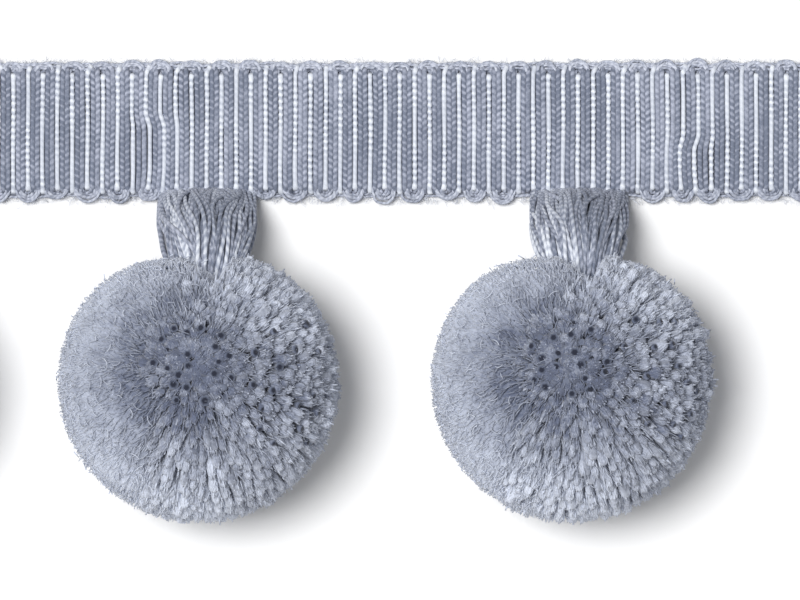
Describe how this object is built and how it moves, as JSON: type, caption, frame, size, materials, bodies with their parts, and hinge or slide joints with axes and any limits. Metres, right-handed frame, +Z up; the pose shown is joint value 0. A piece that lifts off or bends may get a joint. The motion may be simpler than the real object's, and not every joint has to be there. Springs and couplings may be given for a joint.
{
  "type": "pompom fringe trim",
  "caption": "Cut length of upholstery trim: a ribbed braid heading from which cut-yarn pompoms hang on short looped yarn necks.",
  "frame": {"origin": "on the surface that the trim lies on, in the middle of its length and of its drop", "axes": "+X along the heading, +Y from the pompoms to the heading's top edge, +Z up off the surface"},
  "size_m": [0.2, 0.0618, 0.0352],
  "materials": {
    "braid": "blue-grey twisted yarn in ribs, with silver-white lustrous threads between them",
    "skein": "silver and blue-grey twisted yarn in lustrous loose strands",
    "pile": "matt blue-grey cut wool-like yarn, brushed open on one side"
  },
  "bodies": {
    "root": {"heading": "braid", "neck_1": "skein", "neck_2": "skein", "neck_3": "skein", "neck_4": "skein", "pompom_1": "pile", "pompom_2": "pile", "pompom_3": "pile", "pompom_4": "pile"}
  },
  "joints": []
}
